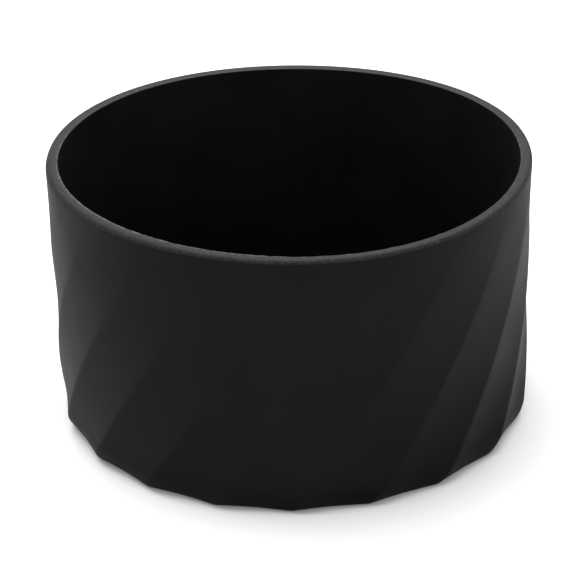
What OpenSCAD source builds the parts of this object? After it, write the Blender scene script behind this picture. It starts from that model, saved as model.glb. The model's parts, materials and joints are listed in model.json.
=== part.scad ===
// Protective base boot for a drinks tumbler: one elastic moulding, a thin round wall closed by a floor.
// The wall carries sharp right-handed twisted ridges with shallow scalloped flutes between them.
// The flutes are deepest at the base and die out into a plain band under the rim.
// Origin: centre of the footprint, on the surface that the boot stands on. +Z is up, out of the mouth.

/* [Boot] */
// Outer diameter of the rim
rim_d = 80; // [60:1:100]
// Overall height
height = 46; // [35:0.5:70]
// Thickness of the wall at the rim, outside the seat that grips the tumbler
wall_t = 2; // [1.9:0.1:4]
// Thickness of the floor
floor_t = 2.2; // [1.6:0.1:4]
// Radius of the corner between the floor and the seat
floor_fillet = 2.5; // [1:0.1:4]

/* [Twisted flutes] */
// Number of ridges around the wall
ridge_count = 19; // [12:1:30]
// Depth of a flute below the ridges at the base
flute_depth = 0.85; // [0.2:0.05:1]
// Angle that a ridge turns through over the full height
ridge_twist = 46; // [-70:1:70]
// Height of the plain band between the flutes and the top of the rim
plain_band = 1.2; // [1:0.1:6]

/* [Edges] */
// Height of the rounding around the base
base_round_h = 4.8; // [2:0.1:6]
// Amount by which that rounding draws the foot in
base_round_in = 2.6; // [0.5:0.1:3]
// Radius of the outer edge of the rim
rim_round = 0.55; // [0.2:0.05:0.9]

/* [Underside] */
// Diameter of the shallow recess under the floor
recess_d = 60; // [20:1:90]
// Depth of that recess
recess_depth = 0.6; // [0.2:0.1:1]

/* [Hidden] */

rim_r = rim_d / 2;
seat_r = rim_r - wall_t;
flute_top = height - plain_band;
seat_z = floor_t + floor_fillet;
rim_round_z = height - rim_round;
// The ring that the boot stands on keeps at least this width
foot_ring = 5;
recess_r = min(recess_d / 2, rim_r - base_round_in - flute_depth - foot_ring);
cut_past = 1;
arc_fn = 96;

// Mesh of the fluted skin: steps across one flute, and steps up each stretch of the wall
flute_steps = 8;
base_steps = 5;
wall_steps = 15;
rim_steps = 3;
ring_size = ridge_count * flute_steps;

// Heights of the rings, from the foot to the top of the rim
base_levels = [for (i = [0:base_steps - 1]) base_round_h * (1 - cos(90 * i / base_steps))];
wall_levels = [for (i = [0:wall_steps]) base_round_h + (flute_top - base_round_h) * i / wall_steps];
rim_levels = [for (i = [0:rim_steps]) rim_round_z + rim_round * sin(90 * i / rim_steps)];
levels = concat(base_levels, wall_levels, rim_levels);
last_ring = len(levels) - 1;

// Drop of a quarter ellipse of half-width a and half-height b, at the share t of its height
function ellipse_drop(a, t) = a * (1 - sqrt(max(0, 1 - t * t)));
// Radius of the circle through the ridges at height z
function crest_r(z) =
    rim_r
    - ellipse_drop(base_round_in, max(0, 1 - z / base_round_h))
    - ellipse_drop(rim_round, max(0, (z - rim_round_z) / rim_round));
// Depth of the flutes at height z: full at the foot, nothing from flute_top upwards
function depth_at(z) = flute_depth * max(0, 1 - z / flute_top);
// Share of the depth at step j around the ring: 0 on a ridge, 1 in the middle of a flute
function scallop(j) = let (u = 1 - abs(2 * (j % flute_steps) / flute_steps - 1)) u * (2 - u);
// Turn of the ridges at height z, from a ridge foot at the front, on -Y
function turn_at(z) = ridge_twist * min(z, flute_top) / height - 90;
// One point of the skin
function skin_point(z, j) =
    let (r = crest_r(z) - depth_at(z) * scallop(j), a = turn_at(z) + 360 * j / ring_size)
    [r * cos(a), r * sin(a), z];

// Solid bounded by the fluted skin, with flat ends
module fluted_blank() {
    points = [for (z = levels) for (j = [0:ring_size - 1]) skin_point(z, j)];
    foot = [for (j = [0:ring_size - 1]) j];
    top = [for (j = [ring_size - 1:-1:0]) last_ring * ring_size + j];
    lower = [
        for (i = [0:last_ring - 1]) for (j = [0:ring_size - 1])
            let (k = (j + 1) % ring_size, a = i * ring_size, b = a + ring_size)
            [a + j, b + k, a + k]
    ];
    upper = [
        for (i = [0:last_ring - 1]) for (j = [0:ring_size - 1])
            let (k = (j + 1) % ring_size, a = i * ring_size, b = a + ring_size)
            [a + j, b + j, b + k]
    ];
    polyhedron(points = points, faces = concat([foot], [top], lower, upper), convexity = 4);
}

// Space for the tumbler: a true cylinder that grips it, and a filleted corner down to the floor
module seat_space() {
    translate([0, 0, seat_z])
        cylinder(r = seat_r, h = height - seat_z + cut_past, $fn = arc_fn);
    translate([0, 0, floor_t])
        cylinder(r = seat_r - floor_fillet, h = floor_fillet + cut_past, $fn = arc_fn);
    translate([0, 0, seat_z])
        rotate_extrude($fn = arc_fn)
            translate([seat_r - floor_fillet, 0])
                circle(r = floor_fillet, $fn = arc_fn);
}

// Shallow round recess, so that the boot stands on a ring and not on its middle
module underside_recess() {
    translate([0, 0, -cut_past])
        cylinder(r = recess_r, h = recess_depth + cut_past, $fn = arc_fn);
}

module boot() {
    color([0.12, 0.12, 0.13])
        difference() {
            fluted_blank();
            seat_space();
            underside_recess();
        }
}

boot();
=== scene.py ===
"""Looks for the silicone tumbler boot: one black moulding with twisted, scalloped flutes.

The visible moulding is one fine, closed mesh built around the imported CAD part. It has the same seat, floor,
height, ridge count and twist, with what the real moulding adds: softened ridges, a rounder rim that is worn
on one side, a torn line of flash round the mouth, a slightly wavy wall, a soft lip round the recess
underneath, and the lean and warp of a limp part. Everything is in metres.
"""

import json
import math

import bpy
from mathutils import Matrix, Vector, noise


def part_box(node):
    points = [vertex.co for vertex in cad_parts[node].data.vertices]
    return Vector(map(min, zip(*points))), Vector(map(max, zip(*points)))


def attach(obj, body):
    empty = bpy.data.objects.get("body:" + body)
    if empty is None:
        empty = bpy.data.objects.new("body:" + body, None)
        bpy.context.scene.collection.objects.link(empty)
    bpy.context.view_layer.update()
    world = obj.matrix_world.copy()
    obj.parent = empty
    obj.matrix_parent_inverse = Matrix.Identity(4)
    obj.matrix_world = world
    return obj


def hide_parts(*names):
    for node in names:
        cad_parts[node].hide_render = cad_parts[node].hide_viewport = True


MM = 0.001
TAU = 2 * math.pi

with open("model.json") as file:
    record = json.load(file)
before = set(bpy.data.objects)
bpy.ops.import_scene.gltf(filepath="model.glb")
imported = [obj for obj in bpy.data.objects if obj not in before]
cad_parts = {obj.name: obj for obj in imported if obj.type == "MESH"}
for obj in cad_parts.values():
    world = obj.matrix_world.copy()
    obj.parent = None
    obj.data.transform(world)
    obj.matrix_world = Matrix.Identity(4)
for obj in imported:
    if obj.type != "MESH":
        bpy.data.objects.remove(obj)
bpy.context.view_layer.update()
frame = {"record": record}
boot_low, boot_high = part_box("boot")
seat = next(m for m in frame["record"]["mounts"] if m["name"] == "tumbler_seat")

# Sizes that the CAD frame gives
RIM_R = (boot_high.x - boot_low.x) / 2
HEIGHT = boot_high.z
SEAT_R = seat["dims"]["r_mm"] * MM
SEAT_Z = HEIGHT - seat["dims"]["length_mm"] * MM

# A constant with SIDE in its name is an angle from the front, on -Y, to the right.

# The twisted flutes
RIDGES = 19
TWIST = math.radians(46)
FLUTE_DEPTH = 0.80 * MM
FLUTE_TOP = HEIGHT - 1.2 * MM
ARRIS_SOFTNESS = 0.05  # share of half a flute over which a ridge is rounded

# Waves of the uneven surfaces: the height, length and noise seed of each
WALL_WAVES = ((0.045 * MM, 9 * MM, 3), (0.018 * MM, 2.8 * MM, 23))
SEAT_WAVES = ((0.03 * MM, 8 * MM, 5),)

# The foot and the underside
BASE_ROUND_H = 3.6 * MM
BASE_ROUND_IN = 1.95 * MM
BASE_ROUND_POWER = 1.7  # 2 would be a quarter ellipse, 1 a flat bevel
RECESS_R = 30 * MM
RECESS_DEPTH = 0.6 * MM
LIP = RECESS_DEPTH / 2  # both roundings of the recess's edge, which meet halfway up it

# The rim
RIM_ROUND = 0.7 * MM
RIM_WORN = 0.45 * MM  # extra rounding where the outer edge is worn most
WORN_SIDE = math.radians(-60)
MOUTH_ROUND = 0.12 * MM  # rounding of the rim's inner edge
MOUTH_R = SEAT_R + MOUTH_ROUND
FLASH_HEIGHT = 0.12 * MM
FLASH_SIDE = math.radians(-45)  # where the flash is tallest
FLASH_TURN = math.radians(30)  # where it stands on the inner edge, round from the flat rim
FLASH_SPREAD = math.radians(40)
FLASH_LINE = 0.35 * MM  # width of the paler line beside it

# How pale the rim is. It is partly the trimmed rim's own powdery colour and pale flash, and partly painted
# highlight on the rim's top and outer rounding, with a painted glint on the flash.
FADE_FROM, FADE_OVER = 0.05, 0.37  # shares of the outer rounding's height, from its foot
TOP_PALE = 0.85
TOP_PALER = 0.4  # added towards the mouth
LINE_PALE = 2.4
MOUTH_PALE = 1.3
FLASH_PALE = 5

# The seat and the floor inside
FLOOR_T = 2.2 * MM
FILLET = SEAT_Z - FLOOR_T
SEAT_TOP = HEIGHT - 0.6 * MM  # the seat's highest ring, clear of the mouth's rounding

# Painted shade: the skin's colour is darkened on the foot, up to one height, and on a patch low on the right.
# At the foot's bottom the skin keeps the first share of its colour.
FOOT_SHADE_SHARE = 0.2
FOOT_SHADE_H = 6 * MM
PATCH_SHADE = 0.9
PATCH_H = 20 * MM
PATCH_SIDE = math.radians(65)

# The limp moulding's lean: how far the foot stands to the right of the rim
LEAN = 0.61 * MM

# Mesh density: columns in a flute, then rings in each stretch from the underside round to the floor
FLUTE_STEPS = 24
COLUMN_CROWDING = 1.4  # 1 spaces the columns evenly, and more draws them to the ridges
LIP_STEPS = 4
SOLE_STEPS = 4
FOOT_STEPS = 14
WALL_STEPS = 60
RIM_STEPS = 12
TOP_STEPS = 6
MOUTH_STEPS = 10
SEAT_STEPS = 26
FILLET_STEPS = 9
FLOOR_STEPS = 9
RING_SIZE = RIDGES * FLUTE_STEPS


# ---------------------------------------------------------------- shape of the moulding


def held(value):
    """The value, held between 0 and 1."""
    return min(1.0, max(0.0, value))


def side_of(angle):
    """Angle from the front to the right, for an angle from +X."""
    return angle + math.pi / 2


def crest_radius(z):
    """Radius of the circle through the ridges at height z."""
    below = max(0.0, 1 - z / BASE_ROUND_H)
    across = (1 - below**BASE_ROUND_POWER) ** (1 / BASE_ROUND_POWER)
    return RIM_R - BASE_ROUND_IN * (1 - across)


def rim_round(angle):
    """Radius of the rim's outer rounding at an angle."""
    worn = max(0.0, math.cos(side_of(angle) - WORN_SIDE)) ** 6
    return RIM_ROUND + RIM_WORN * worn


def flute_depth(z):
    """Depth of the flutes at height z: full at the foot, nothing under the rim."""
    return FLUTE_DEPTH * max(0.0, 1 - z / FLUTE_TOP)


def ridge_turn(z):
    """Angle of the first ridge at height z. Its foot is at the front, on -Y."""
    return TWIST * min(z, FLUTE_TOP) / HEIGHT - math.pi / 2


def column(j):
    """(angle from the first ridge, share of the flute's depth) of mesh column j."""
    ridge, step = divmod(j, FLUTE_STEPS)
    across = 2 * step / FLUTE_STEPS
    direction = 1.0
    if across > 1:  # past the middle of the flute, it is measured back from the next ridge
        across = 2 - across
        direction = -1.0
        ridge += 1
    share = across**COLUMN_CROWDING
    angle = (ridge + direction * share / 2) * TAU / RIDGES
    soft = math.sqrt(share * share + ARRIS_SOFTNESS**2) - ARRIS_SOFTNESS
    return angle, soft * (2 - soft)


COLUMNS = [column(j) for j in range(RING_SIZE)]


def unevenness(angle, z, size, seed):
    """Smooth noise around the moulding, about -1 to 1, with bumps of the given size."""
    x, y = RIM_R * math.cos(angle), RIM_R * math.sin(angle)
    return noise.noise(Vector((x / size, y / size, z / size + seed)))


def stand_out(waves, angle, z):
    """How far an uneven surface stands out at an angle and height."""
    return sum(height * unevenness(angle, z, length, seed) for height, length, seed in waves)


def ragged(angle):
    """Height of the torn flash at an angle, as a share of its tallest."""
    fine = unevenness(angle, 0, 1.3 * MM, 11)
    broad = unevenness(angle, 0, 7 * MM, 17)
    near = 0.5 + 0.5 * math.cos(side_of(angle) - FLASH_SIDE)
    return held(1.5 * near**6 - 0.3 + 0.9 * fine + 0.5 * broad)


def ring(height, place):
    """One ring of mesh points, its columns turned as the ridges are at this height.

    place(angle, share) gives a column's (radius, z). share is its share of the flute's depth.
    """
    turn = ridge_turn(height)
    points = []
    for offset, share in COLUMNS:
        angle = offset + turn
        radius, z = place(angle, share)
        points.append((radius * math.cos(angle), radius * math.sin(angle), z))
    return points


def foot_ring(radius, z):
    """One round ring of the underside."""
    return ring(0, lambda angle, share: (radius, z))


def skin_ring(z):
    """One ring of the fluted outer skin at height z."""
    crest, depth = crest_radius(z), flute_depth(z)
    return ring(z, lambda angle, share: (crest - depth * share + stand_out(WALL_WAVES, angle, z), z))


def rounding_ring(turn):
    """One ring of the rim's outer rounding, turn radians up from the wall."""

    def place(angle, share):
        size = rim_round(angle)
        waves = stand_out(WALL_WAVES, angle, HEIGHT)
        radius = RIM_R - size * (1 - math.cos(turn)) + waves * math.cos(turn)
        return radius, HEIGHT - size * (1 - math.sin(turn))

    return ring(HEIGHT, place)


def top_ring(way):
    """One ring of the rim's flat top, way being 0 at its outer rounding and 1 at its inner edge."""

    def place(angle, share):
        outer = RIM_R - rim_round(angle)
        return outer + (MOUTH_R - outer) * way, HEIGHT

    return ring(HEIGHT, place)


def mouth_ring(turn):
    """One ring of the rim's rounded inner edge, turn radians round from the flat rim.

    The torn flash stands on it, where the two halves of the mould met.
    """
    tall = FLASH_HEIGHT * max(0.0, 1 - abs(turn - FLASH_TURN) / FLASH_SPREAD)
    rise, run = math.cos(turn), 1 - math.sin(turn)

    def place(angle, share):
        lift = tall * ragged(angle)
        radius = SEAT_R + MOUTH_ROUND * run - lift * math.sin(turn)
        return radius, HEIGHT - MOUTH_ROUND * (1 - rise) + lift * rise

    return ring(HEIGHT, place)


def seat_ring(z):
    """One ring of the seat at height z, not quite even."""
    return ring(HEIGHT, lambda angle, share: (SEAT_R + stand_out(SEAT_WAVES, angle, z), z))


def floor_ring(radius, z):
    """One round ring of the floor or of its fillet."""
    return ring(HEIGHT, lambda angle, share: (radius, z))


def spread(first, last, steps):
    """Evenly spaced values from first up to but not including last."""
    return [first + (last - first) * i / steps for i in range(steps)]


def quarter(steps):
    """Evenly spaced angles from 0 up to but not including a right angle."""
    return spread(0, math.pi / 2, steps)


def underside_rings():
    """From the middle of the recess over its soft lip to the foot."""
    rings = [foot_ring(radius, RECESS_DEPTH) for radius in (4 * MM, 10 * MM, 17 * MM, 24 * MM)]
    for turn in quarter(LIP_STEPS):
        radius = RECESS_R - LIP + LIP * math.sin(turn)
        rings.append(foot_ring(radius, RECESS_DEPTH - LIP + LIP * math.cos(turn)))
    for turn in quarter(LIP_STEPS) + [math.pi / 2]:
        radius = RECESS_R + LIP - LIP * math.cos(turn)
        rings.append(foot_ring(radius, LIP - LIP * math.sin(turn)))
    # the flat sole, clear of the lip and of the flutes
    first = RECESS_R + LIP + 1.2 * MM
    last = RIM_R - BASE_ROUND_IN - FLUTE_DEPTH - 0.4 * MM
    return rings + [foot_ring(radius, 0.0) for radius in spread(first, last, SOLE_STEPS)]


def skin_rings():
    """From the floor up the rounded foot and the fluted wall."""
    heights = [BASE_ROUND_H * (1 - math.cos(turn)) for turn in quarter(FOOT_STEPS)]
    heights += spread(BASE_ROUND_H, FLUTE_TOP, WALL_STEPS) + [FLUTE_TOP]
    return [skin_ring(z) for z in heights]


def rim_rings():
    """Over the rim and round its inner edge."""
    rings = [rounding_ring(turn) for turn in quarter(RIM_STEPS)]
    rings += [top_ring(way) for way in spread(0, 1, TOP_STEPS)]
    rings += [mouth_ring(turn) for turn in quarter(MOUTH_STEPS) + [math.pi / 2]]
    return rings


def inside_rings():
    """Down the seat, round the fillet and in over the floor."""
    rings = [seat_ring(z) for z in spread(SEAT_TOP, SEAT_Z, SEAT_STEPS)]
    for turn in quarter(FILLET_STEPS):
        radius = SEAT_R - FILLET + FILLET * math.cos(turn)
        rings.append(floor_ring(radius, SEAT_Z - FILLET * math.sin(turn)))
    rings += [floor_ring(radius, FLOOR_T) for radius in spread(SEAT_R - FILLET, 3 * MM, FLOOR_STEPS)]
    return rings


def paleness(x, y, z):
    """How pale the skin is at a point: 0 on the walls, about 1 on the trimmed rim, most on the flash.
    The paleness is partly the rim's and flash's own powdery colour, and partly painted highlight on the rim's
    top and outer rounding, with a painted glint on the flash.

    The line beside the flash goes by radius alone, so it also marks the bottom of the foot, under the flash.
    """
    radius = math.hypot(x, y)
    angle = math.atan2(y, x)
    size = rim_round(angle)
    # partly painted highlight: the rim's top and outer rounding are made paler, with a paler line beside the
    # flash
    if radius > MOUTH_R:
        rise = (z - HEIGHT + size) / size
        share = held((rise - FADE_FROM) / FADE_OVER)
        fade = share * share * (3 - 2 * share)
        inward = max(0.0, (RIM_R - size - radius) / (RIM_R - size - MOUTH_R))
        line = max(0.0, 1 - (radius - MOUTH_R) / FLASH_LINE)
        return fade * (TOP_PALE + TOP_PALER * inward) + LINE_PALE * line * ragged(angle)
    if z < HEIGHT - MOUTH_ROUND / 2:
        return 0.0
    # partly a painted glint: the mouth's rounding and the flash on it are made paler
    return MOUTH_PALE + FLASH_PALE * ragged(angle)


def painted_shade_factor(x, y, z):
    """Painted shade: how much of its colour the skin keeps at a point, less on the foot and on a patch low on
    the right.
    """
    side = math.atan2(x, -y)
    patch = max(0.0, math.cos(side - PATCH_SIDE)) ** 4 * max(0.0, 1 - z / PATCH_H)
    foot = held(z / FOOT_SHADE_H)
    return (FOOT_SHADE_SHARE + (1 - FOOT_SHADE_SHARE) * foot) * (1 - PATCH_SHADE * patch)


def store(mesh, name, value_at):
    """Gives every point of the mesh a value of this name, which the material reads."""
    values = mesh.attributes.new(name, "FLOAT", "POINT")
    values.data.foreach_set("value", [value_at(*v.co) for v in mesh.vertices])


def boot_mesh():
    """The whole moulding as one closed mesh."""
    rings = underside_rings() + skin_rings() + rim_rings() + inside_rings()
    verts = [point for points in rings for point in points]
    faces = []
    for i in range(len(rings) - 1):
        a, b = i * RING_SIZE, (i + 1) * RING_SIZE
        for j in range(RING_SIZE):
            k = (j + 1) % RING_SIZE
            faces.append((a + j, a + k, b + k, b + j))
    # the middles of the underside and of the floor
    last = (len(rings) - 1) * RING_SIZE
    low = len(verts)
    high = low + 1
    verts += [(0, 0, RECESS_DEPTH), (0, 0, FLOOR_T)]
    for j in range(RING_SIZE):
        k = (j + 1) % RING_SIZE
        faces.append((low, k, j))
        faces.append((high, last + j, last + k))
    mesh = bpy.data.meshes.new("boot_moulding")
    mesh.from_pydata(verts, [], faces)
    mesh.validate()
    mesh.update()
    # paler rim and flash, partly their own colour and partly painted highlight and glint
    store(mesh, "pale", paleness)
    # painted shade on the foot and low on the right, which darkens the skin's colour
    store(mesh, "bloom_and_painted_shade", painted_shade_factor)
    for face in mesh.polygons:
        face.use_smooth = True
    return mesh


def rim_pull(side):
    """(outward, upward) pull of the warped rim at an angle from the front to the right.

    Each is a mean and a few slow waves round the rim, in mm.
    """
    out = 0.18 + 0.04 * math.cos(side) + 0.48 * math.sin(side)
    out -= 0.25 * math.cos(2 * side) + 0.39 * math.sin(2 * side)
    out += 0.19 * math.sin(4 * side) - 0.13 * math.cos(4 * side)
    lift = -0.02 - 0.08 * math.cos(side) - 0.72 * math.sin(side)
    lift += 0.05 * math.sin(3 * side) - 0.26 * math.cos(2 * side) - 0.18 * math.sin(2 * side)
    return out * MM, lift * MM


def thinning(side):
    """How far the rim's inside is pulled out past its outside, which thins the rim there."""
    return (0.3 * math.cos(side) + 0.06 * math.sin(side) - 0.04) * MM


def settle(mesh):
    """The limp moulding's own shape: it leans a little, and its rim is neither quite round nor quite flat."""
    for v in mesh.vertices:
        share = v.co.z / HEIGHT
        side = math.atan2(v.co.x, -v.co.y)
        radius = math.hypot(v.co.x, v.co.y)
        reach = min(1.0, radius / SEAT_R)  # 1 on the wall, down to 0 in the middle of the floor
        inner = min(reach, max(0.0, (RIM_R - radius) / (RIM_R - SEAT_R)))  # 0 outside the wall, 1 inside it
        out, lift = rim_pull(side)
        out = (out * reach + thinning(side) * inner) * share * share
        v.co.x += LEAN * (1 - share) + out * math.sin(side)
        v.co.y -= out * math.cos(side)
        v.co.z += lift * share * share * reach
    mesh.update()


# ---------------------------------------------------------------- materials

# Silicone. Its shine is set well under that of real silicone, because the floor that it mirrors is so bright.
SHINE = 0.096
SHINE_TINT = (1.0, 0.94, 1.02)
SILICONE_IOR = 1.4
SMOOTHEST, ROUGHEST = 0.48, 0.64
SKIN_DARK = (0.0023, 0.0020, 0.0024)
SKIN_PALE = (0.0037, 0.0032, 0.0039)
# The pale speckle on the rim and flash, partly their own powdery colour and partly painted highlight
SPECKLE_AND_HIGHLIGHT_DARK = (0.0030, 0.0028, 0.0031)
SPECKLE_AND_HIGHLIGHT_PALE = (0.0130, 0.0123, 0.0133)
FLOOR_GREY = 0.52

# Noise scales, in bumps to the metre
BLOOM_SCALE = 90
SPECKLE_SCALE = 2300
GRAIN_SCALE = 2600
GRAIN_HEIGHT = 0.06 * MM


def link(tree, source, output, target, socket):
    """Joins a node's output to another node's socket."""
    tree.links.new(source.outputs[output], target.inputs[socket])


def noise_texture(tree, place, scale, detail, roughness=0.5):
    """A noise texture that stays on the moulding."""
    texture = tree.nodes.new("ShaderNodeTexNoise")
    texture.inputs["Scale"].default_value = scale
    texture.inputs["Detail"].default_value = detail
    texture.inputs["Roughness"].default_value = roughness
    link(tree, place, "Object", texture, "Vector")
    return texture


def ramp(tree, texture, *ends):
    """Colours a texture between two ends, each a (texture value, colour)."""
    colours = tree.nodes.new("ShaderNodeValToRGB")
    for element, (position, colour) in zip(colours.color_ramp.elements, ends):
        element.position = position
        element.color = (*colour, 1)
    link(tree, texture, "Fac", colours, "Fac")
    return colours


def stored(tree, name):
    """The value of this name that the mesh has at each point."""
    value = tree.nodes.new("ShaderNodeAttribute")
    value.attribute_name = name
    return value


def silicone():
    """Matte black moulded silicone: a fine spark-eroded grain, a faintly uneven tone, and a pale speckle on
    the trimmed rim and flash that is partly their own powdery colour and partly painted highlight. Painted
    shade darkens the foot and a patch low on the right.
    """
    mat = bpy.data.materials.new("black_silicone")
    mat.use_nodes = True
    tree = mat.node_tree
    shader = tree.nodes["Principled BSDF"]
    shader.inputs["IOR"].default_value = SILICONE_IOR
    shader.inputs["Specular Tint"].default_value = (*SHINE_TINT, 1)
    shader.inputs["Specular IOR Level"].default_value = SHINE
    place = tree.nodes.new("ShaderNodeTexCoord")

    bloom_and_painted_shade = noise_texture(tree, place, BLOOM_SCALE, 5, 0.6)
    colour = ramp(tree, bloom_and_painted_shade, (0.35, SKIN_DARK), (0.75, SKIN_PALE))
    # the skin's colour, darkened by painted shade on the foot and low on the right
    skin = tree.nodes.new("ShaderNodeVectorMath")
    skin.operation = "MULTIPLY"
    link(tree, colour, "Color", skin, 0)
    link(tree, stored(tree, "bloom_and_painted_shade"), "Fac", skin, 1)

    # the pale speckle on the rim and flash, partly their own powdery colour and partly painted highlight
    speckle = noise_texture(tree, place, SPECKLE_SCALE, 2)
    pale_speckle_and_highlight = ramp(tree, speckle, (0.35, SPECKLE_AND_HIGHLIGHT_DARK), (0.65, SPECKLE_AND_HIGHLIGHT_PALE))
    base_colour = tree.nodes.new("ShaderNodeVectorMath")
    base_colour.operation = "MULTIPLY_ADD"
    link(tree, pale_speckle_and_highlight, "Color", base_colour, 0)
    link(tree, stored(tree, "pale"), "Fac", base_colour, 1)
    link(tree, skin, "Vector", base_colour, 2)
    link(tree, base_colour, "Vector", shader, "Base Color")

    rough = tree.nodes.new("ShaderNodeMapRange")
    rough.inputs["To Min"].default_value = SMOOTHEST
    rough.inputs["To Max"].default_value = ROUGHEST
    link(tree, bloom_and_painted_shade, "Fac", rough, "Value")
    link(tree, rough, "Result", shader, "Roughness")

    grain = noise_texture(tree, place, GRAIN_SCALE, 3)
    bump = tree.nodes.new("ShaderNodeBump")
    bump.inputs["Strength"].default_value = 0.35
    bump.inputs["Distance"].default_value = GRAIN_HEIGHT
    link(tree, grain, "Fac", bump, "Height")
    link(tree, bump, "Normal", shader, "Normal")
    return mat


def pale_floor():
    """Plain pale studio surface. It is lit strongly enough to come out white."""
    mat = bpy.data.materials.new("studio_floor")
    mat.use_nodes = True
    shader = mat.node_tree.nodes["Principled BSDF"]
    shader.inputs["Base Color"].default_value = (FLOOR_GREY, FLOOR_GREY, FLOOR_GREY, 1)
    shader.inputs["Roughness"].default_value = 1.0
    shader.inputs["Specular IOR Level"].default_value = 0.0
    return mat


# ---------------------------------------------------------------- studio

# The camera's place and aim, in sizes of the boot
CAMERA_DISTANCE = 11.9562 * RIM_R
CAMERA_AIM = Vector((-0.0048 * RIM_R, 0, 0.52480 * RIM_R))
CAMERA_TILT = math.radians(26.771)  # down from the horizon
CAMERA_ROLL = math.radians(-1.068)
CAMERA_SIDE = math.radians(1.454)
SENSOR = 36.0
LENS = 175.73125  # in the sensor's millimetres

# The lights, in metres and degrees
LIGHT_DISTANCE = 1.6
HIGH, LOW = 55, 22  # elevations
HIGH_BOX, LOW_BOX = (1.0, 1.0), (1.0, 0.8)
SKY = 1.15
FLOOR_REACH = 6.0


def make_camera():
    """A long lens from the front, about 27 degrees above the horizon."""
    ahead = Vector((0, math.cos(CAMERA_TILT), -math.sin(CAMERA_TILT)))
    level = Vector((1, 0, 0))
    upright = level.cross(ahead)
    right = math.cos(CAMERA_ROLL) * level + math.sin(CAMERA_ROLL) * upright
    up = math.cos(CAMERA_ROLL) * upright - math.sin(CAMERA_ROLL) * level
    pose = Matrix((right, up, -ahead)).transposed().to_4x4()
    pose.translation = CAMERA_AIM - CAMERA_DISTANCE * ahead
    data = bpy.data.cameras.new("camera")
    data.sensor_width = SENSOR
    data.lens = LENS
    data.clip_start, data.clip_end = 0.01, 20
    camera = bpy.data.objects.new("camera", data)
    bpy.context.scene.collection.objects.link(camera)
    camera.matrix_world = Matrix.Rotation(CAMERA_SIDE, 4, "Z") @ pose
    bpy.context.scene.camera = camera


def softbox(name, side, elevation, size, brightness):
    """A flat soft light, (width, height) in size, that looks at the middle of the boot.

    The side runs from the front to the right, in degrees.
    """
    turn, lift = math.radians(side), math.radians(elevation)
    ahead = Vector((math.sin(turn) * math.cos(lift), -math.cos(turn) * math.cos(lift), math.sin(lift)))
    data = bpy.data.lights.new(name, "AREA")
    data.shape = "RECTANGLE"
    data.size, data.size_y = size
    data.energy = math.pi * size[0] * size[1] * brightness
    light = bpy.data.objects.new(name, data)
    bpy.context.scene.collection.objects.link(light)
    light.location = Vector((0, 0, HEIGHT / 2)) + LIGHT_DISTANCE * ahead
    light.rotation_euler = ahead.to_track_quat("Z", "Y").to_euler()


def make_floor():
    """A flat square under and around the boot."""
    reach = FLOOR_REACH
    corners = [(-reach, -reach, 0), (reach, -reach, 0), (reach, reach, 0), (-reach, reach, 0)]
    mesh = bpy.data.meshes.new("floor")
    mesh.from_pydata(corners, [], [(0, 1, 2, 3)])
    floor = bpy.data.objects.new("floor", mesh)
    bpy.context.scene.collection.objects.link(floor)
    floor.data.materials.append(pale_floor())


def make_lights():
    """An even white sky and nine softboxes, balanced so that the walls shade as the real ones do."""
    world = bpy.data.worlds.new("studio")
    bpy.context.scene.world = world
    world.use_nodes = True
    sky = world.node_tree.nodes["Background"]
    sky.inputs["Color"].default_value = (1, 1, 1, 1)
    sky.inputs["Strength"].default_value = SKY

    softbox("overhead", 0, 90, (1.2, 1.2), 5.52)
    softbox("back_high", 180, HIGH, HIGH_BOX, 3.91)
    softbox("back_left_high", 225, HIGH, HIGH_BOX, 4.94)
    softbox("left_high", 270, HIGH, HIGH_BOX, 2.7)
    softbox("back_right_high", 135, HIGH, HIGH_BOX, 1.32)
    softbox("front_low", 0, LOW, LOW_BOX, 1.38)
    softbox("front_right_low", 45, LOW, LOW_BOX, 1.9)
    softbox("right_low", 90, LOW, LOW_BOX, 0.92)
    softbox("back_low", 180, LOW, LOW_BOX, 1.09)


# ---------------------------------------------------------------- build

bpy.context.scene.view_settings.view_transform = "Standard"
make_camera()
make_floor()
make_lights()

boot = bpy.data.objects.new("boot_moulding", boot_mesh())
bpy.context.scene.collection.objects.link(boot)
settle(boot.data)
boot.data.materials.append(silicone())
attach(boot, "root")
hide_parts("boot")
